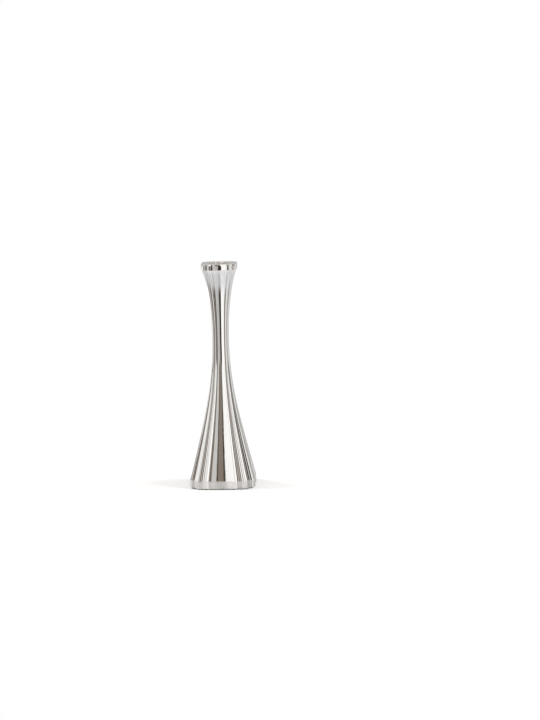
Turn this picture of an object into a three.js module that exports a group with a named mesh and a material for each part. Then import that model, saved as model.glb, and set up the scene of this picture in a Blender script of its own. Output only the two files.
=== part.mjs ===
// A tall polished silver candlestick: a thin fluted shell, narrow at the waist, on a weighted foot.
// Its plan is a rounded square with sixteen hollow flutes, the same at every height.
// Millimetres, +Z up. The origin is the middle of the face that it rests on.
import * as THREE from 'three';

// Heights
const HEIGHT = 250;
const RIM_BAND_HEIGHT = 6.9;
const FOOT_BAND_HEIGHT = 8.7;
const FOOT_BAND_LIFT = 0.7;
const WAIST_HEIGHT = 167;

// Half-widths of the outline, measured to the sharp edges between the flutes
const RIM_HALF = 19.8;
const TRUMPET_TOP_HALF = 19.5;
const WAIST_HALF = 9.15;
const SKIRT_FOOT_HALF = 36.4;
const FOOT_HALF = 36.6;

// Plan of the outline: edges on a rounded square, with hollow flutes between them
const EDGE_ANGLES = [22.5, 36.9, 53.1, 67.5];
const SQUARENESS = 5.4;
const SIDE_FLUTE_DEPTH = 0.032;
const CORNER_FLUTE_DEPTH = 0.107;
const SIDE_FLUTE_STEPS = 6;
const CORNER_FLUTE_STEPS = 3;

// Sheet and fits
const SHELL_WALL = 0.9;
const BAND_WALL = 1.2;
const GAP = 0.3;

// Lift-out nozzle: a plate with a drawn cup for the candle
const PLATE_THICKNESS = 1.4;
const PLATE_RECESS = 0.1;
const SOCKET_RADIUS = 11.25;
const SOCKET_DEPTH = 23;
const CUP_WALL = 0.8;
const SEAT_THICKNESS = 1.2;
const SEAT_CLEARANCE = 0.8;

// What holds it together inside
const ROD_RADIUS = 2.5;
const ROD_BOTTOM = 5.6;
const PLUG_BOTTOM = 195;
const PLUG_TOP = 205;
const SLEEVE_HALF_LENGTH = 12;
const SLEEVE_BORE = 4;
const WEIGHT_BOTTOM = 13.3;
const WEIGHT_TOP = 44;
const WEIGHT_BORE = 3.2;
const WASHER_RADIUS = 7;
const WASHER_THICKNESS = 1.2;
const NUT_ACROSS_FLATS = 8;
const NUT_HEIGHT = 4;

// Underside
const FELT_THICKNESS = 1.9;
const BASE_PLATE_THICKNESS = 1;

const SHELL_STEPS = 9;
const ROUND_STEPS = 32;

const foot = { bottom: FOOT_BAND_LIFT, top: FOOT_BAND_LIFT + FOOT_BAND_HEIGHT };
const rim = { bottom: HEIGHT - RIM_BAND_HEIGHT, top: HEIGHT };
const plateTop = HEIGHT - PLATE_RECESS;
const plateBottom = plateTop - PLATE_THICKNESS;
const insideRim = RIM_HALF - BAND_WALL - GAP;
const insideFoot = FOOT_HALF - BAND_WALL - GAP;

const finishes = {
  polishedSilver: { color: 0xdcd9d3, roughness: 0.07, metalness: 1 },
  satinSilver: { color: 0xcfccc7, roughness: 0.34, metalness: 1 },
  brass: { color: 0xb8934a, roughness: 0.35, metalness: 1 },
  steel: { color: 0x9a9a98, roughness: 0.4, metalness: 1 },
  castIron: { color: 0x3a3835, roughness: 0.85, metalness: 0.6 },
  felt: { color: 0x1f3a2c, roughness: 1, metalness: 0 },
};

// The two side profiles, as half-width against height. Both are upright where they meet.
const skirtProfile = new THREE.CubicBezierCurve(
  new THREE.Vector2(SKIRT_FOOT_HALF, foot.top + GAP),
  new THREE.Vector2(17.7, 80),
  new THREE.Vector2(WAIST_HALF, 115),
  new THREE.Vector2(WAIST_HALF, WAIST_HEIGHT - GAP / 2),
);
const trumpetProfile = new THREE.CubicBezierCurve(
  new THREE.Vector2(WAIST_HALF, WAIST_HEIGHT + GAP / 2),
  new THREE.Vector2(WAIST_HALF, 195.6),
  new THREE.Vector2(13.2, 229),
  new THREE.Vector2(TRUMPET_TOP_HALF, rim.bottom - GAP),
);

// A point on the rounded square, at an angle from +X, in the first quarter or any other.
function edgePoint(degrees) {
  const angle = THREE.MathUtils.degToRad(degrees);
  const across = Math.abs(Math.cos(angle)) ** SQUARENESS;
  const along = Math.abs(Math.sin(angle)) ** SQUARENESS;
  const radius = (across + along) ** (-1 / SQUARENESS);
  return new THREE.Vector2(Math.cos(angle), Math.sin(angle)).multiplyScalar(radius);
}

// One hollow flute between two edges, without its last point.
function flute(start, end, depth, steps) {
  const chord = end.clone().sub(start);
  const inward = new THREE.Vector2(-chord.y, chord.x).multiplyScalar(2 * depth);
  const control = start.clone().add(end).multiplyScalar(0.5).add(inward);
  return new THREE.QuadraticBezierCurve(start, control, end).getPoints(steps).slice(0, -1);
}

// The whole plan, counter-clockwise, for a half-width of 1.
function fluteOutline() {
  const edges = [];
  for (let quarter = 0; quarter < 4; quarter += 1) {
    edges.push(...EDGE_ANGLES.map((degrees) => edgePoint(degrees + 90 * quarter)));
  }
  return edges.flatMap((start, i) => {
    const end = edges[(i + 1) % edges.length];
    const onSide = (i + 1) % EDGE_ANGLES.length === 0;
    const depth = onSide ? SIDE_FLUTE_DEPTH : CORNER_FLUTE_DEPTH;
    return flute(start, end, depth, onSide ? SIDE_FLUTE_STEPS : CORNER_FLUTE_STEPS);
  });
}

const OUTLINE = fluteOutline();

// A ring of points that follows the outline, or a circle, at one height.
function flutedRing(halfWidth, z) {
  return OUTLINE.map((p) => new THREE.Vector3(p.x * halfWidth, p.y * halfWidth, z));
}

function roundRing(radius, z) {
  return OUTLINE.map((p) => new THREE.Vector3(p.x, p.y, 0).setLength(radius).setZ(z));
}

// Skins ring after ring and the last back to the first, which makes a closed body round the axis.
function ringBody(rings) {
  const count = OUTLINE.length;
  const index = [];
  rings.forEach((ring, i) => {
    const here = i * count;
    const next = ((i + 1) % rings.length) * count;
    for (let j = 0; j < count; j += 1) {
      const k = (j + 1) % count;
      index.push(here + j, here + k, next + k);
      index.push(here + j, next + k, next + j);
    }
  });
  const positions = rings.flat().flatMap((p) => [p.x, p.y, p.z]);
  const geometry = new THREE.BufferGeometry();
  geometry.setAttribute('position', new THREE.Float32BufferAttribute(positions, 3));
  geometry.setIndex(index);
  geometry.computeVertexNormals();
  return geometry;
}

// An upright fluted wall or plate between two heights, open in the middle.
function flutedWall(outerHalf, innerHalf, bottom, top) {
  return ringBody([
    flutedRing(outerHalf, bottom),
    flutedRing(outerHalf, top),
    flutedRing(innerHalf, top),
    flutedRing(innerHalf, bottom),
  ]);
}

function flutedPlate(outerHalf, boreRadius, bottom, top) {
  return ringBody([
    flutedRing(outerHalf, bottom),
    flutedRing(outerHalf, top),
    roundRing(boreRadius, top),
    roundRing(boreRadius, bottom),
  ]);
}

function flutedSlab(halfWidth, bottom, top) {
  const shape = new THREE.Shape(OUTLINE.map((p) => p.clone().multiplyScalar(halfWidth)));
  const slab = new THREE.ExtrudeGeometry(shape, { depth: top - bottom, bevelEnabled: false });
  return slab.translate(0, 0, bottom);
}

// A thin shell whose outside follows a profile.
function shell(profile) {
  const stations = profile.getPoints(SHELL_STEPS);
  const outside = stations.map((p) => flutedRing(p.x, p.y));
  const inside = stations.map((p) => flutedRing(p.x - SHELL_WALL, p.y)).reverse();
  return ringBody([...outside, ...inside]);
}

// A plug that fills a shell between two heights, with a bore for the rod.
function taperPlug(profile, bottom, top, boreRadius) {
  const stations = profile.getPoints(SHELL_STEPS).filter((p) => p.y > bottom && p.y < top);
  const outside = [halfWidthAt(profile, bottom), ...stations, halfWidthAt(profile, top)];
  const rings = outside.map((p) => flutedRing(p.x - SHELL_WALL - GAP, p.y));
  return ringBody([...rings, roundRing(boreRadius, top), roundRing(boreRadius, bottom)]);
}

// The point of a shell's faceted side at one height.
function halfWidthAt(profile, z) {
  const stations = profile.getPoints(SHELL_STEPS);
  const above = stations.findIndex((p) => p.y >= z);
  const [low, high] = [stations[above - 1], stations[above]];
  return low.clone().lerp(high, (z - low.y) / (high.y - low.y));
}

// A turned piece: its profile is [radius, height] points, counter-clockwise.
function turned(profile, steps = ROUND_STEPS) {
  const points = profile.map(([radius, z]) => new THREE.Vector2(radius, z));
  return new THREE.LatheGeometry(points, steps).rotateX(Math.PI / 2);
}

function candleCup() {
  const floor = plateTop - SOCKET_DEPTH;
  const outside = SOCKET_RADIUS + CUP_WALL;
  const fillet = 1.5;
  return turned([
    [0, floor - CUP_WALL],
    [outside - fillet, floor - CUP_WALL],
    [outside, floor - CUP_WALL + fillet],
    [outside, plateTop],
    [SOCKET_RADIUS, plateTop],
    [SOCKET_RADIUS, floor],
    [0, floor],
  ]);
}

function tieRod() {
  const top = PLUG_TOP + 1;
  return turned([[0, ROD_BOTTOM], [ROD_RADIUS, ROD_BOTTOM], [ROD_RADIUS, top], [0, top]], 12);
}

function rodWasher() {
  const top = WEIGHT_BOTTOM - GAP;
  const bottom = top - WASHER_THICKNESS;
  const bore = ROD_RADIUS + GAP;
  return turned([[bore, bottom], [WASHER_RADIUS, bottom], [WASHER_RADIUS, top], [bore, top], [bore, bottom]]);
}

function rodNut() {
  const acrossCorners = NUT_ACROSS_FLATS / Math.cos(Math.PI / 6);
  const corners = [0, 1, 2, 3, 4, 5].map((i) => {
    const angle = (i * Math.PI) / 3;
    return new THREE.Vector2(Math.cos(angle), Math.sin(angle)).multiplyScalar(acrossCorners / 2);
  });
  const shape = new THREE.Shape(corners);
  shape.holes.push(new THREE.Path().absarc(0, 0, ROD_RADIUS + GAP, 0, 2 * Math.PI, true));
  const top = WEIGHT_BOTTOM - GAP - WASHER_THICKNESS - GAP;
  const nut = new THREE.ExtrudeGeometry(shape, { depth: NUT_HEIGHT, bevelEnabled: false, curveSegments: 12 });
  return nut.translate(0, 0, top - NUT_HEIGHT);
}

const candlestick = new THREE.Group();

function addPiece(name, geometry, finish) {
  const mesh = new THREE.Mesh(geometry, new THREE.MeshStandardMaterial(finish));
  mesh.name = name;
  candlestick.add(mesh);
}

function addShellsAndBands() {
  addPiece('upper_shell', shell(trumpetProfile), finishes.polishedSilver);
  addPiece('lower_shell', shell(skirtProfile), finishes.polishedSilver);
  const rimBand = flutedWall(RIM_HALF, RIM_HALF - BAND_WALL, rim.bottom, rim.top);
  const footBand = flutedWall(FOOT_HALF, FOOT_HALF - BAND_WALL, foot.bottom, foot.top);
  addPiece('rim_band', rimBand, finishes.polishedSilver);
  addPiece('foot_band', footBand, finishes.satinSilver);
}

function addNozzle() {
  const cupOutside = SOCKET_RADIUS + CUP_WALL;
  const plate = flutedPlate(insideRim, cupOutside + GAP, plateBottom, plateTop);
  const seatTop = plateBottom - GAP;
  const seat = flutedPlate(insideRim, cupOutside + SEAT_CLEARANCE, seatTop - SEAT_THICKNESS, seatTop);
  addPiece('nozzle_plate', plate, finishes.polishedSilver);
  addPiece('candle_cup', candleCup(), finishes.satinSilver);
  addPiece('seat_frame', seat, finishes.brass);
}

function addCore() {
  const sleeveBottom = WAIST_HEIGHT - SLEEVE_HALF_LENGTH;
  const sleeveTop = WAIST_HEIGHT + SLEEVE_HALF_LENGTH;
  const sleeve = flutedPlate(WAIST_HALF - SHELL_WALL - GAP, SLEEVE_BORE, sleeveBottom, sleeveTop);
  const plug = taperPlug(trumpetProfile, PLUG_BOTTOM, PLUG_TOP, ROD_RADIUS + GAP);
  const weight = taperPlug(skirtProfile, WEIGHT_BOTTOM, WEIGHT_TOP, WEIGHT_BORE);
  addPiece('waist_sleeve', sleeve, finishes.brass);
  addPiece('rod_anchor', plug, finishes.brass);
  addPiece('tie_rod', tieRod(), finishes.steel);
  addPiece('foot_weight', weight, finishes.castIron);
  addPiece('rod_washer', rodWasher(), finishes.steel);
  addPiece('rod_nut', rodNut(), finishes.steel);
}

function addUnderside() {
  const plateLow = FELT_THICKNESS + GAP;
  const basePlate = flutedSlab(insideFoot, plateLow, plateLow + BASE_PLATE_THICKNESS);
  addPiece('base_plate', basePlate, finishes.brass);
  addPiece('felt_pad', flutedSlab(insideFoot, 0, FELT_THICKNESS), finishes.felt);
}

addShellsAndBands();
addNozzle();
addCore();
addUnderside();

export default candlestick;
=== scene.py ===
"""A tall polished silver candlestick: fluted shells on a weighted foot, with a lift-out candle nozzle.

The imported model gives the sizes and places. This script makes the finely worked pieces round it.
Metres, +Z up, origin at the middle of the face that it stands on.
"""

import math

import bmesh
import bpy
from mathutils import Matrix, Vector, noise
from mathutils.geometry import interpolate_bezier


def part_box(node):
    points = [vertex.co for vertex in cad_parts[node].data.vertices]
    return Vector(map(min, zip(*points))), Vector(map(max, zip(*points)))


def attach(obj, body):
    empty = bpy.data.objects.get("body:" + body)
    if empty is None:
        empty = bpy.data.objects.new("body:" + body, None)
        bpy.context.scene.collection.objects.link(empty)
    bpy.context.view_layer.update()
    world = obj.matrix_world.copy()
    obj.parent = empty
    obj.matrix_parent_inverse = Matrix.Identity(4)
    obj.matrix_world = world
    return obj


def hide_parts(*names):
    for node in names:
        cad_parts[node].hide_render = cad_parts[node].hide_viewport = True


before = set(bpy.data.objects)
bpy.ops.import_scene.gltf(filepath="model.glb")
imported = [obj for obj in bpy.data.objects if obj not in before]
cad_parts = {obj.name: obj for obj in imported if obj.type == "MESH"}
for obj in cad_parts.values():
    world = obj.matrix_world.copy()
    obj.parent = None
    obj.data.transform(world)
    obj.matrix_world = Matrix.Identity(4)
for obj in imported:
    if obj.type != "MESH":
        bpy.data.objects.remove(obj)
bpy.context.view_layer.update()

MM = 0.001

# Plan of the fluted outline, for a half-width of 1: sharp edges on a rounded square, hollows between them
EDGE_ANGLES = (22.5, 36.9, 53.1, 67.5)
SQUARENESS = 5.4
SIDE_FLUTE_DEPTH = 0.032
CORNER_FLUTE_DEPTH = 0.107
EDGE_ROUNDING = 0.008

# Side profiles: handles of the two curves, which are both upright at the waist
SKIRT_HANDLE = Vector((17.7, 80.0)) * MM
SKIRT_WAIST_HANDLE = 115 * MM
TRUMPET_WAIST_HANDLE = 195.6 * MM
TRUMPET_HANDLE = Vector((13.2, 229.0)) * MM
SKIRT_STATIONS = 72
TRUMPET_STATIONS = 48

# Sheet thicknesses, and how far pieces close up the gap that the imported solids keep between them
SHEET = 0.9 * MM
BAND_WALL = 1.2 * MM
BAND_RIM = 0.3 * MM
RIM_CROWN = 0.15 * MM
CUP_WALL = 0.8 * MM
FIT_GAP = 0.3 * MM
PLATE_EASE = 0.2 * MM
SLEEVE_EASE = 0.2 * MM
BLOCK_EASE = 0.1 * MM
CUP_CLEARANCE = 0.5 * MM
SEAM = 0.01 * MM

SLEEVE_BORE = 4 * MM
WEIGHT_BORE = 3.2 * MM
THREAD_PITCH = 0.8 * MM
THREAD_DEPTH = 0.45 * MM
HUB = 0.5 * MM
ARC_STEPS = 4
FLAT_MARGIN = 0.08 * MM
BAND_ROWS = 12
PLATE_RIM = 0.15 * MM
SEAT_RIM = 0.2 * MM
SLEEVE_RIM = 0.5 * MM
CUP_LIP = 0.08 * MM
CUP_CORNER = 0.9 * MM
NUT_CHAMFER = 0.5 * MM
NUT_FLARE = 0.35 * MM
ROD_THREAD = 16 * MM

# How far the polished sheet waves in and out
SILVER_WAVE = 0.03 * MM


def low(node):
    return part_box(node)[0]


def high(node):
    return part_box(node)[1]


# ---------------------------------------------------------------- outline and mesh helpers


def edge_point(degrees):
    """Where a sharp edge between two flutes stands on the rounded square."""
    angle = math.radians(degrees)
    across = abs(math.cos(angle)) ** SQUARENESS
    along = abs(math.sin(angle)) ** SQUARENESS
    return Vector((math.cos(angle), math.sin(angle))) * (across + along) ** (-1 / SQUARENESS)


class Flute:
    """One hollow between two edges of the plan."""

    def __init__(self, start, end, depth):
        self.start = start
        self.end = end
        self.depth = depth
        self.rounding = EDGE_ROUNDING / (end - start).length

    def at(self, u):
        chord = self.end - self.start
        inward = Vector((-chord.y, chord.x)) * (4 * self.depth * u * (1 - u))
        return self.start + chord * u + inward

    def points(self, steps):
        span = 1 - 2 * self.rounding
        return [(self.at(self.rounding + span * i / steps), i / steps) for i in range(steps + 1)]


def plan_flutes():
    edges = [edge_point(a + 90 * quarter) for quarter in range(4) for a in EDGE_ANGLES]
    flutes = []
    for i, start in enumerate(edges):
        on_side = (i + 1) % len(EDGE_ANGLES) == 0
        depth = SIDE_FLUTE_DEPTH if on_side else CORNER_FLUTE_DEPTH
        flutes.append(Flute(start, edges[(i + 1) % len(edges)], depth))
    return flutes


def fluted_outline(fineness=1.0):
    """The plan as (point, hollow) pairs: hollow is 1 in the middle of a flute and 0 on its edges."""
    flutes = plan_flutes()
    outline = []
    for i, flute in enumerate(flutes):
        after = flutes[(i + 1) % len(flutes)]
        steps = max(4, round((flute.end - flute.start).length * 36 * fineness))
        outline += [(p, 4 * u * (1 - u)) for p, u in flute.points(steps)]
        a = flute.at(1 - flute.rounding)
        b = after.at(after.rounding)
        for t in (0.25, 0.5, 0.75):
            bend = a * (1 - t) ** 2 + flute.end * (2 * t * (1 - t)) + b * t ** 2
            outline.append((bend, 0.0))
    return outline


FINE = fluted_outline()
PLAIN = fluted_outline(0.5)
EVEN = [(p, 0.5) for p, _ in FINE]


def fluted_ring(half, z, outline=FINE):
    return [Vector((p.x * half, p.y * half, z)) for p, _ in outline]


def round_ring(radius, z, outline=FINE):
    return [Vector((p.x, p.y, 0)).normalized() * radius + Vector((0, 0, z)) for p, _ in outline]


def rounded_section(outer, inner, bottom, top, soft, inner_ring):
    """Rings of a wall or plate with four rounded corners. Its inside follows the plan or is round."""
    corners = (
        (fluted_ring, outer - soft, bottom + soft, -90),
        (fluted_ring, outer - soft, top - soft, 0),
        (inner_ring, inner + soft, top - soft, 90),
        (inner_ring, inner + soft, bottom + soft, 180),
    )
    rings = []
    for ring, r, z, start in corners:
        for step in range(ARC_STEPS + 1):
            turn = math.radians(start + 90 * step / ARC_STEPS)
            rings.append(ring(r + soft * math.cos(turn), z + soft * math.sin(turn)))
    return rings


def flat_plate(name, outer, bore, bottom, top, soft):
    """A fluted plate with a round hole. A ring close to each rounded rim keeps its faces truly flat."""
    rings = rounded_section(outer, bore, bottom, top, soft, round_ring)
    inset = soft + FLAT_MARGIN
    over = [fluted_ring(outer - inset, top), round_ring(bore + inset, top)]
    under = [round_ring(bore + inset, bottom), fluted_ring(outer - inset, bottom)]
    middle = 2 * (ARC_STEPS + 1)
    return skin(name, rings[:middle] + over + rings[middle:] + under, EVEN)


def add_piece(name, mesh, body, slot, *nodes):
    """Puts a finished mesh in the scene, riding on its body in place of its CAD nodes."""
    piece = bpy.data.objects.new(name, mesh)
    bpy.context.scene.collection.objects.link(piece)
    piece.data.materials.append(FINISHES[slot])
    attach(piece, body)
    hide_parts(*nodes)


def smooth(mesh, sharp_degrees=38):
    mesh.shade_smooth()
    mesh.set_sharp_from_angle(angle=math.radians(sharp_degrees))
    return mesh


def skin(name, rings, outline=FINE, loop=True):
    """Skins ring after ring. A loop closes on its first ring; otherwise both ends are capped."""
    count = len(rings[0])
    points = [p for ring in rings for p in ring]
    faces = []
    for i in range(len(rings) if loop else len(rings) - 1):
        here = i * count
        there = (i + 1) % len(rings) * count
        for j in range(count):
            k = (j + 1) % count
            faces.append((here + j, here + k, there + k, there + j))
    if not loop:
        for first in (0, len(points) - count):
            points.append(sum(points[first:first + count], Vector()) / count)
            hub = len(points) - 1
            for j in range(count):
                pair = (first + j, first + (j + 1) % count)
                faces.append((*(pair if first else pair[::-1]), hub))
    mesh = bpy.data.meshes.new(name)
    mesh.from_pydata(points, [], faces)
    hollow = mesh.attributes.new("hollow", "FLOAT", "POINT")
    values = [h for _, h in outline] * len(rings)
    hollow.data.foreach_set("value", values + [0.5] * (len(points) - len(values)))
    return smooth(mesh)


def turned(name, profile, steps):
    """A lathe-turned mesh from (radius, height) points that start and end on the axis, or that close."""
    bm = bmesh.new()
    verts = [bm.verts.new((r, 0, z)) for r, z in profile]
    edges = [bm.edges.new(pair) for pair in zip(verts, verts[1:])]
    if profile[0][0] > 0:
        edges.append(bm.edges.new((verts[-1], verts[0])))
    bmesh.ops.spin(bm, geom=verts + edges, axis=(0, 0, 1), cent=(0, 0, 0), angle=math.tau,
                   steps=steps, use_merge=True)
    bmesh.ops.remove_doubles(bm, verts=bm.verts, dist=1e-7)
    bmesh.ops.recalc_face_normals(bm, faces=bm.faces)
    mesh = bpy.data.meshes.new(name)
    bm.to_mesh(mesh)
    bm.free()
    hollow = mesh.attributes.new("hollow", "FLOAT", "POINT")
    hollow.data.foreach_set("value", [0.5] * len(mesh.vertices))
    return smooth(mesh)


def rounded(profile, radius, steps=4):
    """The same closed profile with every corner off the axis turned into an arc."""
    out = []
    for i, corner in enumerate(profile):
        here = Vector(corner)
        before = Vector(profile[i - 1]) - here
        after = Vector(profile[(i + 1) % len(profile)]) - here
        if here.x == 0:
            out.append(corner)
            continue
        reach = min(radius, before.length * 0.45, after.length * 0.45)
        a = here + before.normalized() * reach
        b = here + after.normalized() * reach
        for s in range(steps + 1):
            t = s / steps
            out.append(tuple(a * (1 - t) ** 2 + here * (2 * t * (1 - t)) + b * t ** 2))
    return out


# ---------------------------------------------------------------- shells and bands


def side_profile(start, start_handle, end_handle, end, stations):
    """Points (half-width, height) along one smooth side curve."""
    curve = interpolate_bezier(*(Vector((*p, 0)) for p in (start, start_handle, end_handle, end)), stations)
    return [(p.x, p.y) for p in curve]


def waist():
    """Half-width and height of the narrowest place, where the two shells meet."""
    height = (low("upper_shell").z + high("lower_shell").z) / 2
    return (high("waist_sleeve").x + SHEET + FIT_GAP, height)


def skirt_profile():
    foot = (high("lower_shell").x, high("foot_band").z)
    return side_profile(foot, SKIRT_HANDLE, (waist()[0], SKIRT_WAIST_HANDLE), waist(), SKIRT_STATIONS)


def trumpet_profile():
    top = (high("upper_shell").x, low("rim_band").z)
    return side_profile(waist(), (waist()[0], TRUMPET_WAIST_HANDLE), TRUMPET_HANDLE, top, TRUMPET_STATIONS)


def half_width_at(profile, z):
    for (r0, z0), (r1, z1) in zip(profile, profile[1:]):
        if z0 <= z <= z1:
            return r0 + (r1 - r0) * (z - z0) / (z1 - z0)
    raise ValueError(f"the profile doesn't reach {z}")


def shell(name, profile):
    outside = [fluted_ring(half, z) for half, z in profile]
    inside = [fluted_ring(half - SHEET, z) for half, z in reversed(profile)]
    return skin(name, outside + inside)


def applied_band(name, node, crown):
    """A flat strip bent round the outline, with rounded rims and a face that swells by a hair."""
    bottom, top, half = low(node).z, high(node).z, high(node).x
    soft = BAND_RIM
    rings = rounded_section(half, half - BAND_WALL, bottom, top, soft, fluted_ring)
    swell = []
    for i in range(1, BAND_ROWS):
        u = i / BAND_ROWS
        z = bottom + soft + (top - bottom - 2 * soft) * u
        swell.append(fluted_ring(half + crown * 4 * u * (1 - u), z))
    return skin(name, rings[:ARC_STEPS + 1] + swell + rings[ARC_STEPS + 1:])


def make_shells_and_bands():
    lower = skirt_profile()
    upper = trumpet_profile()
    lower[-1] = (lower[-1][0], lower[-1][1] - SEAM)
    skirt = shell("lower_shell_silver", lower)
    add_piece("lower_shell_silver", skirt, "stand", "polished_silver", "lower_shell")
    trumpet = shell("upper_shell_silver", upper)
    add_piece("upper_shell_silver", trumpet, "stand", "polished_silver", "upper_shell")
    rim = applied_band("rim_band_silver", "rim_band", RIM_CROWN)
    add_piece("rim_band_silver", rim, "stand", "polished_silver", "rim_band")
    foot = applied_band("foot_band_satin", "foot_band", 0)
    add_piece("foot_band_satin", foot, "stand", "satin_silver", "foot_band")


# ---------------------------------------------------------------- lift-out nozzle


def make_nozzle():
    bottom, top = low("nozzle_plate").z, high("nozzle_plate").z
    cup_radius = high("candle_cup").x
    half = high("nozzle_plate").x + PLATE_EASE
    plate = flat_plate("nozzle_plate_silver", half, cup_radius, bottom, top, PLATE_RIM)
    add_piece("nozzle_plate_silver", plate, "nozzle", "polished_silver", "nozzle_plate")

    wall = CUP_WALL
    bore = cup_radius - wall
    base = low("candle_cup").z
    profile = [
        (0, base),
        (cup_radius - 3 * MM, base),
        (cup_radius - SEAM, base + 3 * MM),
        (cup_radius - SEAM, top),
        (cup_radius + CUP_LIP, top + SEAM),
        (cup_radius + CUP_LIP, top + CUP_LIP),
        (bore, top + CUP_LIP),
        (bore, base + wall + 2.4 * MM),
        (bore - 2.4 * MM, base + wall),
        (0, base + wall),
    ]
    cup = turned("candle_cup_satin", rounded(profile, CUP_CORNER), 144)
    add_piece("candle_cup_satin", cup, "nozzle", "satin_silver", "candle_cup")


def make_seat_frame():
    """The ledge inside the rim that the nozzle plate rests on."""
    bottom, top = low("seat_frame").z, high("seat_frame").z
    half = high("seat_frame").x + PLATE_EASE
    bore = high("candle_cup").x + CUP_CLEARANCE
    seat = flat_plate("seat_frame_brass", half, bore, bottom, top, SEAT_RIM)
    add_piece("seat_frame_brass", seat, "stand", "brass", "seat_frame")


# ---------------------------------------------------------------- core that holds it together


def threaded_rod(name, radius, bottom, top, lower_thread, upper_thread):
    """A rod with a rolled thread at each end and chamfered tips."""
    steps = 36
    rows = [bottom + i * THREAD_PITCH / 8 for i in range(int((top - bottom) / THREAD_PITCH * 8) + 1)]
    plain = [z for z in rows if bottom + lower_thread < z < top - upper_thread]
    rows = [z for z in rows if z not in plain[1:-1]]
    rings = []
    for z in rows:
        tip = min(z - bottom, top - z, THREAD_PITCH) / THREAD_PITCH
        cut = 0 if plain[0] <= z <= plain[-1] else THREAD_DEPTH
        ring = []
        for j in range(steps):
            turn = j / steps
            wave = abs(((z / THREAD_PITCH - turn) % 1) * 2 - 1)
            r = radius - cut * (1 - wave) - (1 - tip) * THREAD_DEPTH
            ring.append(Vector((r * math.cos(turn * math.tau), r * math.sin(turn * math.tau), z)))
        rings.append(ring)
    return skin(name, rings, [(None, 0.5)] * steps, loop=False)


def hex_nut(name, across_flats, bore, bottom, top):
    """A hexagon nut whose corners are turned off at both ends."""
    steps = 96
    rings = []
    outside = ((bottom, NUT_CHAMFER), (bottom + NUT_CHAMFER, 0), (top - NUT_CHAMFER, 0), (top, NUT_CHAMFER))
    for z, inset in outside:
        ring = []
        for j in range(steps):
            angle = j / steps * math.tau
            flat = (angle + math.pi / 6) % (math.pi / 3) - math.pi / 6
            corner = across_flats / 2 / math.cos(math.pi / 6)
            side = across_flats / 2 / math.cos(flat - math.copysign(math.pi / 6, flat))
            r = min(side, corner - inset * 1.2)
            ring.append(Vector((r * math.cos(angle), r * math.sin(angle), z)))
        rings.append(ring)
    inside = ((top, NUT_FLARE), (top - NUT_FLARE, 0), (bottom + NUT_FLARE, 0), (bottom, NUT_FLARE))
    for z, flare in inside:
        turns = [j / steps * math.tau for j in range(steps)]
        rings.append([Vector(((bore + flare) * math.cos(a), (bore + flare) * math.sin(a), z)) for a in turns])
    return skin(name, rings, [(None, 0.5)] * steps)


def fitted_block(name, profile, bottom, top, bore, soft, recess=0):
    """A block that fills a shell, with rounded rims, a bore and, if asked, a recess for the washer."""
    rings = []
    rows = 28
    for i in range(rows + 1):
        z = bottom + (top - bottom) * i / rows
        end = min(z - bottom, top - z, soft) / soft
        bite = soft * (1 - math.sqrt(1 - (1 - end) ** 2))
        rings.append(fluted_ring(half_width_at(profile, z) - SHEET - BLOCK_EASE - bite, z, PLAIN))
    rings.append(round_ring(bore + 0.6 * MM, top, PLAIN))
    rings.append(round_ring(bore, top - 0.6 * MM, PLAIN))
    if recess:
        rings.append(round_ring(bore, bottom + recess, PLAIN))
        rings.append(round_ring(bore + 6 * MM, bottom + recess, PLAIN))
        rings.append(round_ring(bore + 6 * MM + recess, bottom, PLAIN))
    else:
        rings.append(round_ring(bore, bottom + 0.6 * MM, PLAIN))
        rings.append(round_ring(bore + 0.6 * MM, bottom, PLAIN))
    return skin(name, rings, PLAIN)


def make_core():
    bottom, top = low("waist_sleeve").z, high("waist_sleeve").z
    sleeve_half = high("waist_sleeve").x + SLEEVE_EASE
    sleeve = flat_plate("waist_sleeve_brass", sleeve_half, SLEEVE_BORE, bottom, top, SLEEVE_RIM)
    add_piece("waist_sleeve_brass", sleeve, "stand", "brass", "waist_sleeve")

    rod_radius = high("tie_rod").x
    bottom, top = low("rod_anchor").z, high("rod_anchor").z
    anchor = fitted_block("rod_anchor_brass", trumpet_profile(), bottom, top, rod_radius, 0.6 * MM)
    add_piece("rod_anchor_brass", anchor, "stand", "brass", "rod_anchor")

    bottom, top = low("tie_rod").z, high("tie_rod").z
    rod = threaded_rod("tie_rod_threaded", rod_radius, bottom, top, ROD_THREAD, ROD_THREAD)
    add_piece("tie_rod_threaded", rod, "stand", "steel", "tie_rod")

    bottom, top = low("foot_weight").z, high("foot_weight").z
    weight = fitted_block("foot_weight_casting", skirt_profile(), bottom, top, WEIGHT_BORE, 2 * MM, 0.25 * MM)
    add_piece("foot_weight_casting", weight, "stand", "cast_iron", "foot_weight")

    bottom, top = low("rod_washer").z, high("rod_washer").z + 0.5 * MM
    radius = high("rod_washer").x
    section = [(rod_radius, bottom), (radius, bottom), (radius, top), (rod_radius, top)]
    washer = turned("rod_washer_plated", rounded(section, 0.3 * MM), 64)
    add_piece("rod_washer_plated", washer, "stand", "steel", "rod_washer")

    bottom, top = low("rod_nut").z, high("rod_nut").z
    nut = hex_nut("rod_nut_plated", 2 * high("rod_nut").y, rod_radius, bottom, top)
    add_piece("rod_nut_plated", nut, "stand", "steel", "rod_nut")


# ---------------------------------------------------------------- underside


def fluted_disc(name, half, section, outline, lift=None):
    """A closed plate from (inset, height) points, which run from the middle below to the middle above."""
    rings = [fluted_ring(max(half - inset, HUB), z, outline) for inset, z in section]
    if lift:
        rings = [[p + Vector((0, 0, lift(p))) for p in ring] for ring in rings]
    return skin(name, rings, outline, loop=False)


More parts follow.
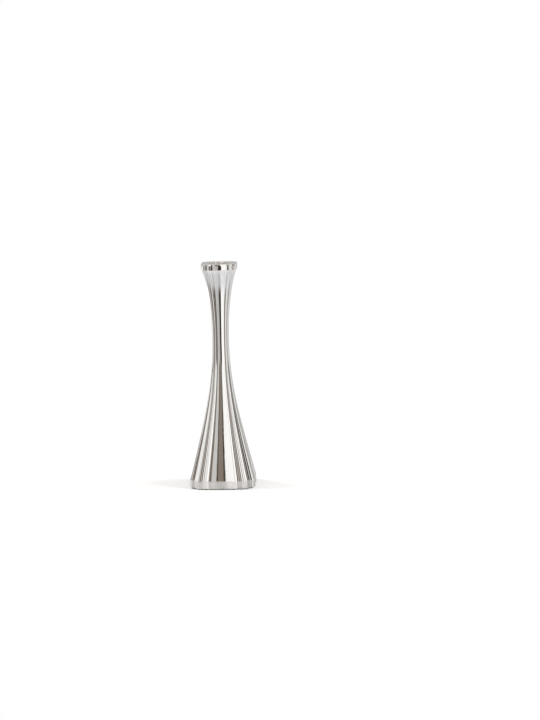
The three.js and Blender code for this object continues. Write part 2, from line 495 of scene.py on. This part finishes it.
def make_base_plate():
    """A pressed cover with a raised bead near its edge."""
    bottom, top = low("base_plate").z, high("base_plate").z
    half = high("base_plate").x + PLATE_EASE
    thick = top - bottom
    soft = 0.3 * MM
    bead = [(8, 0), (7, 0.5), (6, 0.7), (5, 0.5), (4, 0)]
    bead_under = [(i * MM, bottom + h * MM) for i, h in bead]
    bead_over = [(i * MM, bottom + thick + h * MM) for i, h in reversed(bead)]
    under = [(half, bottom)] + bead_under + [(soft, bottom), (0, bottom + soft)]
    over = [(0, top - soft), (soft, top)] + bead_over + [(half, top)]
    cover = fluted_disc("base_plate_pressed", half, under + over, PLAIN)
    add_piece("base_plate_pressed", cover, "stand", "brass", "base_plate")


def felt_lump(p):
    """The small rise and fall of the felt's upper face and edge."""
    depth = 0.12 * MM
    return depth * noise.noise(p * 320) if p.z > 0.2 * MM else 0


def make_felt_pad():
    half = high("felt_pad").x
    top = high("felt_pad").z
    soft = 0.6 * MM
    inward = [half * i / 18 for i in range(18, 0, -1)]
    corner = [math.radians(9 * i) for i in range(11)]
    lower_edge = [(soft * (1 - math.sin(a)), soft * (1 - math.cos(a))) for a in corner]
    upper_edge = [(inset, top - rise) for inset, rise in reversed(lower_edge)]
    section = [(i, 0) for i in inward] + lower_edge + upper_edge + [(i, top) for i in reversed(inward)]
    pad = fluted_disc("felt_pad_wool", half, section, PLAIN, felt_lump)
    add_piece("felt_pad_wool", pad, "stand", "felt", "felt_pad")


# ---------------------------------------------------------------- shader building blocks


class Graph:
    """Adds nodes to a tree. Inputs are given by name or number, as a value or as another node's socket."""

    def __init__(self, tree):
        self.tree = tree

    def add(self, kind, inputs=None, **settings):
        made = self.tree.nodes.new("ShaderNode" + kind)
        for key, value in settings.items():
            setattr(made, key, value)
        for key, value in (inputs or {}).items():
            if isinstance(value, bpy.types.NodeSocket):
                self.tree.links.new(value, made.inputs[key])
            else:
                made.inputs[key].default_value = value
        return made

    def math(self, operation, *values, clamp=False):
        return self.add("Math", dict(enumerate(values)), operation=operation, use_clamp=clamp).outputs[0]

    def remap(self, value, from_low, from_high, to_low=0.0, to_high=1.0):
        span = {"Value": value, "From Min": from_low, "From Max": from_high}
        span.update({"To Min": to_low, "To Max": to_high})
        return self.add("MapRange", span, interpolation_type="SMOOTHSTEP").outputs[0]

    def blend(self, factor, first, second):
        mixed = self.add("Mix", {"Factor": factor, "A": first, "B": second}, data_type="FLOAT")
        return mixed.outputs["Result"]

    def mix_colour(self, factor, first, second):
        mixed = self.add("Mix", {"Factor": factor}, data_type="RGBA")
        for socket, colour in (("A", first), ("B", second)):
            target = next(i for i in mixed.inputs if i.name == socket and i.type == "RGBA")
            if isinstance(colour, bpy.types.NodeSocket):
                self.tree.links.new(colour, target)
            else:
                target.default_value = (*colour, 1)
        return next(o for o in mixed.outputs if o.type == "RGBA")

    def stretched(self, vector, scale, turn=0.0):
        tilt = (turn * 0.7, turn, turn * 1.3)
        return self.add("Mapping", {"Vector": vector, "Scale": scale, "Rotation": tilt}).outputs[0]

    def noise(self, vector, scale, detail=2.0, roughness=0.5):
        values = {"Vector": vector, "Scale": scale, "Detail": detail, "Roughness": roughness}
        return self.add("TexNoise", values).outputs["Fac"]

    def cells(self, vector, scale):
        """Distance to the nearest of many scattered points."""
        return self.add("TexVoronoi", {"Vector": vector, "Scale": scale}, feature="F1").outputs["Distance"]


def effect(name, inputs, outputs, build):
    """A shader node group. Inputs are (name, default) pairs, outputs are names, and build makes its nodes."""
    tree = bpy.data.node_groups.new(name, "ShaderNodeTree")
    for label, default in inputs:
        kind = "NodeSocketVector" if default is None else "NodeSocketFloat"
        socket = tree.interface.new_socket(label, in_out="INPUT", socket_type=kind)
        if default is not None:
            socket.default_value = default
    for label in outputs:
        tree.interface.new_socket(label, in_out="OUTPUT", socket_type="NodeSocketFloat")
    start = tree.nodes.new("NodeGroupInput")
    end = tree.nodes.new("NodeGroupOutput")
    graph = Graph(tree)
    for label, socket in build(graph, start.outputs).items():
        tree.links.new(socket, end.inputs[label])
    return tree


def polishing_lines(g, given):
    """Fine lines left by the mop, in three directions that fade in and out."""
    lines = None
    for turn in (0.3, 1.4, 2.5):
        across = g.stretched(given["Position"], (1.0, 1.0, 0.05), turn)
        fine = g.remap(g.noise(across, g.math("MULTIPLY", given["Scale"], 9000)), 0.62, 0.72)
        patch = g.remap(g.noise(given["Position"], 90 + 20 * turn), 0.45, 0.62)
        line = g.math("MULTIPLY", fine, patch)
        lines = line if lines is None else g.math("MAXIMUM", lines, line)
    return {"Lines": lines}


def hand_waves(g, given):
    """The slow rise and fall that hammering and polishing leave in sheet."""
    slow = g.stretched(given["Position"], (1.0, 1.0, 0.35))
    wave = g.noise(slow, g.math("MULTIPLY", given["Scale"], 60), 1.0)
    ripple = g.noise(slow, g.math("MULTIPLY", given["Scale"], 210), 2.0)
    return {"Height": g.math("MULTIPLY_ADD", ripple, 0.25, wave)}


def drawn_grain(g, given):
    """Short fine lines that run level round the piece, as a belt or a lathe tool leaves them."""
    level = g.stretched(given["Position"], (0.04, 0.04, 1.0))
    fine = g.noise(level, g.math("MULTIPLY", given["Scale"], 9000), 3.0, 0.7)
    broad = g.noise(level, g.math("MULTIPLY", given["Scale"], 1500), 2.0)
    return {"Grain": g.math("MULTIPLY_ADD", broad, 0.4, g.math("MULTIPLY", fine, 0.6))}


def tarnish(g, given):
    """Where the cloth doesn't reach: the hollows of the flutes, in soft clouds, and less on the edges."""
    cloud = g.remap(g.noise(given["Position"], g.math("MULTIPLY", given["Scale"], 70), 4.0, 0.6), 0.35, 0.75)
    spots = g.remap(g.noise(given["Position"], g.math("MULTIPLY", given["Scale"], 900), 2.0), 0.66, 0.78)
    deep = g.remap(given["Hollow"], 0.15, 1.0, 0.25, 1.0)
    film = g.math("MULTIPLY_ADD", spots, 0.3, cloud, clamp=True)
    return {"Mask": g.math("MULTIPLY", deep, film, clamp=True)}


def edge_shine(g, given):
    """The sharp edges, rubbed brighter than the rest, unevenly along their length."""
    near = g.remap(given["Hollow"], given["Width"], 0.0)
    uneven = g.remap(g.noise(given["Position"], 160), 0.3, 0.7, 0.4, 1.0)
    return {"Mask": g.math("MULTIPLY", near, uneven)}


def dust(g, given):
    """Sparse specks with a soft film between them."""
    seen = g.remap(g.cells(given["Position"], 700.0), 0.16, 0.06)
    sparse = g.remap(g.noise(given["Position"], 240), 0.58, 0.66)
    film = g.noise(given["Position"], 35, 3.0)
    return {"Specks": g.math("MULTIPLY", seen, sparse), "Film": film}


def cast_skin(g, given):
    """The pitted grain of a sand casting."""
    sand = g.noise(given["Position"], g.math("MULTIPLY", given["Scale"], 1400), 4.0, 0.7)
    pits = g.cells(given["Position"], 420.0)
    height = g.math("MULTIPLY_ADD", g.remap(pits, 0.0, 0.35), 0.6, sand)
    return {"Height": height, "Pits": g.remap(pits, 0.25, 0.05)}


def wool_fibres(g, given):
    """Matted wool: short crossed fibres over soft lumps."""
    fibres = None
    for turn in (0.0, 0.8, 1.7, 2.6):
        twist = {"Vector": given["Position"], "Scale": (1.0, 0.09, 1.0), "Rotation": (0, 0, turn)}
        spun = g.add("Mapping", twist).outputs[0]
        strand = g.remap(g.noise(spun, 5200, 1.0), 0.52, 0.7)
        fibres = strand if fibres is None else g.math("MAXIMUM", fibres, strand)
    lumps = g.noise(given["Position"], 420, 3.0)
    return {"Fibres": fibres, "Height": g.math("MULTIPLY_ADD", fibres, 0.5, lumps)}


def make_effects():
    place = ("Position", None)
    scale = ("Scale", 1.0)
    hollow = ("Hollow", 0.5)
    return {
        "polishing_lines": effect("polishing_lines", [place, scale], ["Lines"], polishing_lines),
        "hand_waves": effect("hand_waves", [place, scale], ["Height"], hand_waves),
        "drawn_grain": effect("drawn_grain", [place, scale], ["Grain"], drawn_grain),
        "tarnish": effect("tarnish", [place, scale, hollow], ["Mask"], tarnish),
        "edge_shine": effect("edge_shine", [place, hollow, ("Width", 0.2)], ["Mask"], edge_shine),
        "dust": effect("dust", [place], ["Specks", "Film"], dust),
        "cast_skin": effect("cast_skin", [place, scale], ["Height", "Pits"], cast_skin),
        "wool_fibres": effect("wool_fibres", [place], ["Fibres", "Height"], wool_fibres),
    }


# ---------------------------------------------------------------- finishes


class Finish:
    """One material: its shader, its surface position and hollow mask, and the shared effects placed in it."""

    def __init__(self, name, effects, metallic, **constants):
        self.material = bpy.data.materials.new(name + "_finish")
        self.material.use_nodes = True
        tree = self.material.node_tree
        self.shader = tree.nodes["Principled BSDF"]
        self.graph = Graph(tree)
        self.effects = effects
        self.shader.inputs["Metallic"].default_value = metallic
        for socket, value in constants.items():
            self.shader.inputs[socket.replace("_", " ")].default_value = value
        self.position = self.graph.add("TexCoord").outputs["Object"]
        self.hollow = self.graph.add("Attribute", attribute_name="hollow").outputs["Fac"]

    def place(self, name, **values):
        group = self.graph.add("Group", node_tree=self.effects[name])
        tree = self.graph.tree
        tree.links.new(self.position, group.inputs["Position"])
        if "Hollow" in group.inputs:
            tree.links.new(self.hollow, group.inputs["Hollow"])
        for socket, value in values.items():
            group.inputs[socket].default_value = value
        return group.outputs

    def bump(self, height, depth, under=None):
        values = {"Height": height, "Strength": 1.0, "Distance": depth}
        if under:
            values["Normal"] = under
        return self.graph.add("Bump", values).outputs["Normal"]

    def connect(self, **sockets):
        for name, socket in sockets.items():
            self.graph.tree.links.new(socket, self.shader.inputs[name.replace("_", " ")])
        return self.material


def polished_silver(effects):
    f = Finish("polished_silver", effects, 1.0)
    g = f.graph
    dull = f.place("tarnish")["Mask"]
    bright = f.place("edge_shine", Width=0.22)["Mask"]
    lines = f.place("polishing_lines")["Lines"]
    specks = f.place("dust")["Specks"]
    silver = g.mix_colour(g.math("MULTIPLY", dull, 0.5), (0.95, 0.945, 0.935), (0.82, 0.805, 0.78))
    silver = g.mix_colour(g.math("MULTIPLY", bright, 0.6), silver, (0.985, 0.98, 0.965))
    silver = g.mix_colour(g.math("MULTIPLY", specks, 0.35), silver, (0.62, 0.61, 0.59))
    rough = g.math("MULTIPLY_ADD", dull, 0.035, 0.02)
    rough = g.math("MULTIPLY_ADD", lines, 0.04, rough)
    rough = g.math("MULTIPLY_ADD", specks, 0.3, rough)
    waves = f.bump(f.place("hand_waves")["Height"], SILVER_WAVE)
    normal = f.bump(lines, 0.0006 * MM, waves)
    return f.connect(Base_Color=silver, Roughness=rough, Normal=normal)


def satin_silver(effects):
    f = Finish("satin_silver", effects, 1.0)
    g = f.graph
    grain = f.place("drawn_grain")["Grain"]
    dull = f.place("tarnish", Scale=1.6)["Mask"]
    bright = f.place("edge_shine", Width=0.3)["Mask"]
    silver = g.mix_colour(g.math("MULTIPLY", dull, 0.45), (0.90, 0.89, 0.87), (0.74, 0.72, 0.68))
    silver = g.mix_colour(g.math("MULTIPLY", bright, 0.7), silver, (0.97, 0.965, 0.95))
    rough = g.math("MULTIPLY_ADD", grain, 0.14, 0.08)
    rough = g.math("MULTIPLY_ADD", bright, -0.06, rough)
    normal = f.bump(grain, 0.01 * MM)
    return f.connect(Base_Color=silver, Roughness=rough, Normal=normal)


def drawn_brass(effects):
    f = Finish("brass", effects, 1.0)
    g = f.graph
    grain = f.place("drawn_grain", Scale=0.6)["Grain"]
    dull = f.place("tarnish", Scale=1.3)["Mask"]
    brass = g.mix_colour(grain, (0.60, 0.44, 0.20), (0.78, 0.61, 0.32))
    brass = g.mix_colour(g.math("MULTIPLY", dull, 0.7), brass, (0.30, 0.20, 0.10))
    rough = g.math("MULTIPLY_ADD", dull, 0.25, g.math("MULTIPLY_ADD", grain, 0.14, 0.2))
    return f.connect(Base_Color=brass, Roughness=rough, Normal=f.bump(grain, 0.012 * MM))


def plated_steel(effects):
    f = Finish("steel", effects, 1.0)
    g = f.graph
    grain = f.place("drawn_grain", Scale=0.8)["Grain"]
    film = f.place("dust")["Film"]
    steel = g.mix_colour(grain, (0.47, 0.47, 0.46), (0.66, 0.66, 0.64))
    steel = g.mix_colour(g.remap(film, 0.5, 0.75), steel, (0.55, 0.50, 0.40))
    rough = g.math("MULTIPLY_ADD", grain, 0.2, 0.25)
    return f.connect(Base_Color=steel, Roughness=rough, Normal=f.bump(grain, 0.01 * MM))


def cast_iron(effects):
    f = Finish("cast_iron", effects, 0.55)
    g = f.graph
    skin_of_sand = f.place("cast_skin")
    film = f.place("dust")["Film"]
    iron = g.mix_colour(skin_of_sand["Height"], (0.07, 0.066, 0.06), (0.16, 0.15, 0.14))
    iron = g.mix_colour(g.math("MULTIPLY", g.remap(film, 0.5, 0.7), 0.6), iron, (0.20, 0.095, 0.04))
    rough = g.math("MULTIPLY_ADD", skin_of_sand["Pits"], 0.2, 0.62)
    return f.connect(Base_Color=iron, Roughness=rough, Normal=f.bump(skin_of_sand["Height"], 0.12 * MM))


def wool_felt(effects):
    f = Finish("felt", effects, 0.0, Sheen_Weight=0.6, Sheen_Roughness=0.5)
    g = f.graph
    wool = f.place("wool_fibres")
    dye = g.mix_colour(wool["Fibres"], (0.016, 0.05, 0.03), (0.05, 0.12, 0.075))
    fluff = f.place("dust")["Specks"]
    dye = g.mix_colour(g.math("MULTIPLY", fluff, 0.5), dye, (0.3, 0.32, 0.28))
    rough = g.math("MULTIPLY_ADD", wool["Fibres"], -0.12, 0.97)
    return f.connect(Base_Color=dye, Roughness=rough, Normal=f.bump(wool["Height"], 0.12 * MM))


def make_finishes():
    effects = make_effects()
    return {
        "polished_silver": polished_silver(effects),
        "satin_silver": satin_silver(effects),
        "brass": drawn_brass(effects),
        "steel": plated_steel(effects),
        "cast_iron": cast_iron(effects),
        "felt": wool_felt(effects),
    }


# ---------------------------------------------------------------- studio

CAMERA_AZIMUTH = 3.5
CAMERA_DISTANCE = 2.6
CAMERA_HEIGHT = 0.5
CAMERA_LENS = 117.2
CAMERA_ROLL = -1.08
AIM = Vector((0.0549, 0.0, 0.1401))

# The panels, dark gaps and walls that stand round the table, as the polished shell shows them. Each starts
# at a compass angle (0 is straight ahead of the front, positive to the right) and ends where the next one
# starts: (angle, brightness above table height, brightness below it).
SURROUNDINGS = (
    (-180, 0.50, 0.60),
    (-145, 0.50, 0.72),
    (-131, 0.94, 0.42),
    (-119, 0.66, 0.42),
    (-112, 1.10, 0.42),
    (-102, 0.80, 0.30),
    (-90, 0.80, 0.46),
    (-83, 0.05, 0.46),
    (-75, 0.30, 1.30),
    (-65, 0.10, 1.40),
    (-58.5, 1.15, 0.20),
    (-51, 0.84, 0.24),
    (-43, 0.82, 0.03),
    (-30, 0.90, 0.85),
    (-22.5, 0.05, 0.60),
    (-18, 1.02, 1.05),
    (-10, 1.02, 0.03),
    (-8, 0.03, 0.03),
    (-6, 0.24, 0.03),
    (-3.5, 0.24, 0.48),
    (0.5, 0.06, 0.52),
    (2, 0.60, 0.55),
    (7.5, 0.20, 0.03),
    (11.5, 0.26, 0.03),
    (18.5, 0.50, 0.30),
    (28, 0.12, 0.42),
    (38, 1.15, 1.30),
    (47.5, 0.95, 0.88),
    (53.5, 0.02, 0.50),
    (64, 0.52, 0.50),
    (75.5, 0.02, 0.50),
    (87, 0.38, 0.36),
    (98, 0.12, 0.36),
    (107.5, 1.15, 0.70),
    (115, 1.25, 0.85),
    (122, 0.42, 0.50),
    (129, 0.42, 0.75),
    (146, 0.50, 0.55),
    (180, 0.50, 0.60),
)
PANEL_EDGE = 0.8
OVERHEAD = 0.9
PALE_TABLE = 0.74
TABLE_RADIUS = 0.25
TABLE_FADE = 0.08


def place_camera():
    data = bpy.data.cameras.new("camera")
    data.lens = CAMERA_LENS
    data.sensor_width = 36
    camera = bpy.data.objects.new("camera", data)
    angle = math.radians(CAMERA_AZIMUTH)
    camera.location = (math.sin(angle) * CAMERA_DISTANCE, -math.cos(angle) * CAMERA_DISTANCE, CAMERA_HEIGHT)
    gaze = (AIM - camera.location).to_track_quat("-Z", "Y").to_matrix().to_4x4()
    roll = Matrix.Rotation(math.radians(CAMERA_ROLL), 4, "Z")
    camera.matrix_world = Matrix.Translation(camera.location) @ gaze @ roll
    bpy.context.scene.collection.objects.link(camera)
    bpy.context.scene.camera = camera


def ring_quarter(g, compass, first):
    """Brightness above and below table height round a quarter of the compass, with soft steps."""
    ramp = g.add("ValToRGB", {"Fac": g.math("DIVIDE", g.math("SUBTRACT", compass, first), 90.0)})
    stops = ramp.color_ramp.elements
    stops.remove(stops[1])
    stops[0].position = 0
    stops[0].color = (*[panel for panel in SURROUNDINGS if panel[0] <= first][-1][1:], 0, 1)
    for (_, *old), (angle, *new) in zip(SURROUNDINGS, SURROUNDINGS[1:]):
        if first < angle < first + 90:
            for side, look in ((-PANEL_EDGE / 2, old), (PANEL_EDGE / 2, new)):
                stops.new((angle + side - first) / 90).color = (*look, 0, 1)
    return ramp.outputs["Color"]


def make_world():
    """Plain white to look at; in reflections a ring of panels and dark gaps under a bright ceiling."""
    world = bpy.data.worlds.new("studio")
    world.use_nodes = True
    tree = world.node_tree
    g = Graph(tree)
    way = g.add("SeparateXYZ", {"Vector": g.add("TexCoord").outputs["Generated"]}).outputs
    compass = g.math("DEGREES", g.math("ARCTAN2", way["X"], g.math("MULTIPLY", way["Y"], -1.0)))
    ring = ring_quarter(g, compass, -180)
    for first in (-90, 0, 90):
        ring = g.mix_colour(g.math("GREATER_THAN", compass, first), ring, ring_quarter(g, compass, first))
    ring = g.add("SeparateColor", {"Color": ring}).outputs
    height = g.math("DEGREES", g.math("ARCSINE", way["Z"]))
    above, below = ring["Red"], ring["Green"]
    low = g.blend(0.3, PALE_TABLE, below)
    walls = g.blend(g.remap(height, -2.0, 2.0), g.blend(g.remap(height, -30.0, -22.0), low, below), above)
    brightness = g.blend(g.remap(height, 30.0, 50.0), walls, OVERHEAD)
    light = g.mix_colour(g.remap(height, -28.0, -16.0), (0.985, 0.98, 1.0), (1.0, 0.985, 0.965))
    shade = g.mix_colour(g.remap(brightness, 0.55, 0.05), light, (1.0, 0.78, 0.58))
    room = g.add("VectorMath", {0: shade, "Scale": brightness}, operation="SCALE").outputs[0]
    seen = g.add("LightPath").outputs["Is Camera Ray"]
    tree.links.new(g.mix_colour(seen, room, (1, 1, 1)), tree.nodes["Background"].inputs["Color"])
    bpy.context.scene.world = world


def make_floor():
    """A pale table top that fades out into the surroundings and is much greyer in reflections."""
    mesh = bpy.data.meshes.new("floor")
    mesh.from_pydata([(-1, -1, 0), (1, -1, 0), (1, 1, 0), (-1, 1, 0)], [], [(0, 1, 2, 3)])
    floor = bpy.data.objects.new("floor", mesh)
    bpy.context.scene.collection.objects.link(floor)
    material = bpy.data.materials.new("pale_table")
    material.use_nodes = True
    tree = material.node_tree
    g = Graph(tree)
    shader = tree.nodes["Principled BSDF"]
    shader.inputs["Roughness"].default_value = 0.12
    seen = g.add("LightPath").outputs["Is Camera Ray"]
    tree.links.new(g.blend(seen, 0.7, 0.2), shader.inputs["Specular IOR Level"])
    tree.links.new(g.mix_colour(seen, (0.52, 0.515, 0.525), (0.95, 0.95, 0.95)), shader.inputs["Base Color"])
    place = g.add("TexCoord").outputs["Object"]
    distance = g.add("VectorMath", {0: place}, operation="LENGTH").outputs["Value"]
    table = g.remap(distance, TABLE_RADIUS + TABLE_FADE, TABLE_RADIUS - TABLE_FADE)
    tree.links.new(table, shader.inputs["Alpha"])
    mesh.materials.append(material)


def add_softbox(name, place, size, power):
    data = bpy.data.lights.new(name, "AREA")
    data.shape = "DISK"
    data.size = size
    data.energy = power
    light = bpy.data.objects.new(name, data)
    light.location = place
    light.rotation_mode = "QUATERNION"
    light.rotation_quaternion = (-Vector(place)).to_track_quat("-Z", "Y")
    light.visible_glossy = False
    light.visible_camera = False
    bpy.context.scene.collection.objects.link(light)


FINISHES = make_finishes()
make_shells_and_bands()
make_nozzle()
make_seat_frame()
make_core()
make_base_plate()
make_felt_pad()
place_camera()
make_world()
make_floor()
add_softbox("right_softbox", (1.35, -0.2, 1.0), 1.2, 24)
add_softbox("left_softbox", (-1.3, 0.35, 1.0), 1.2, 20)
bpy.context.scene.view_settings.view_transform = "Standard"
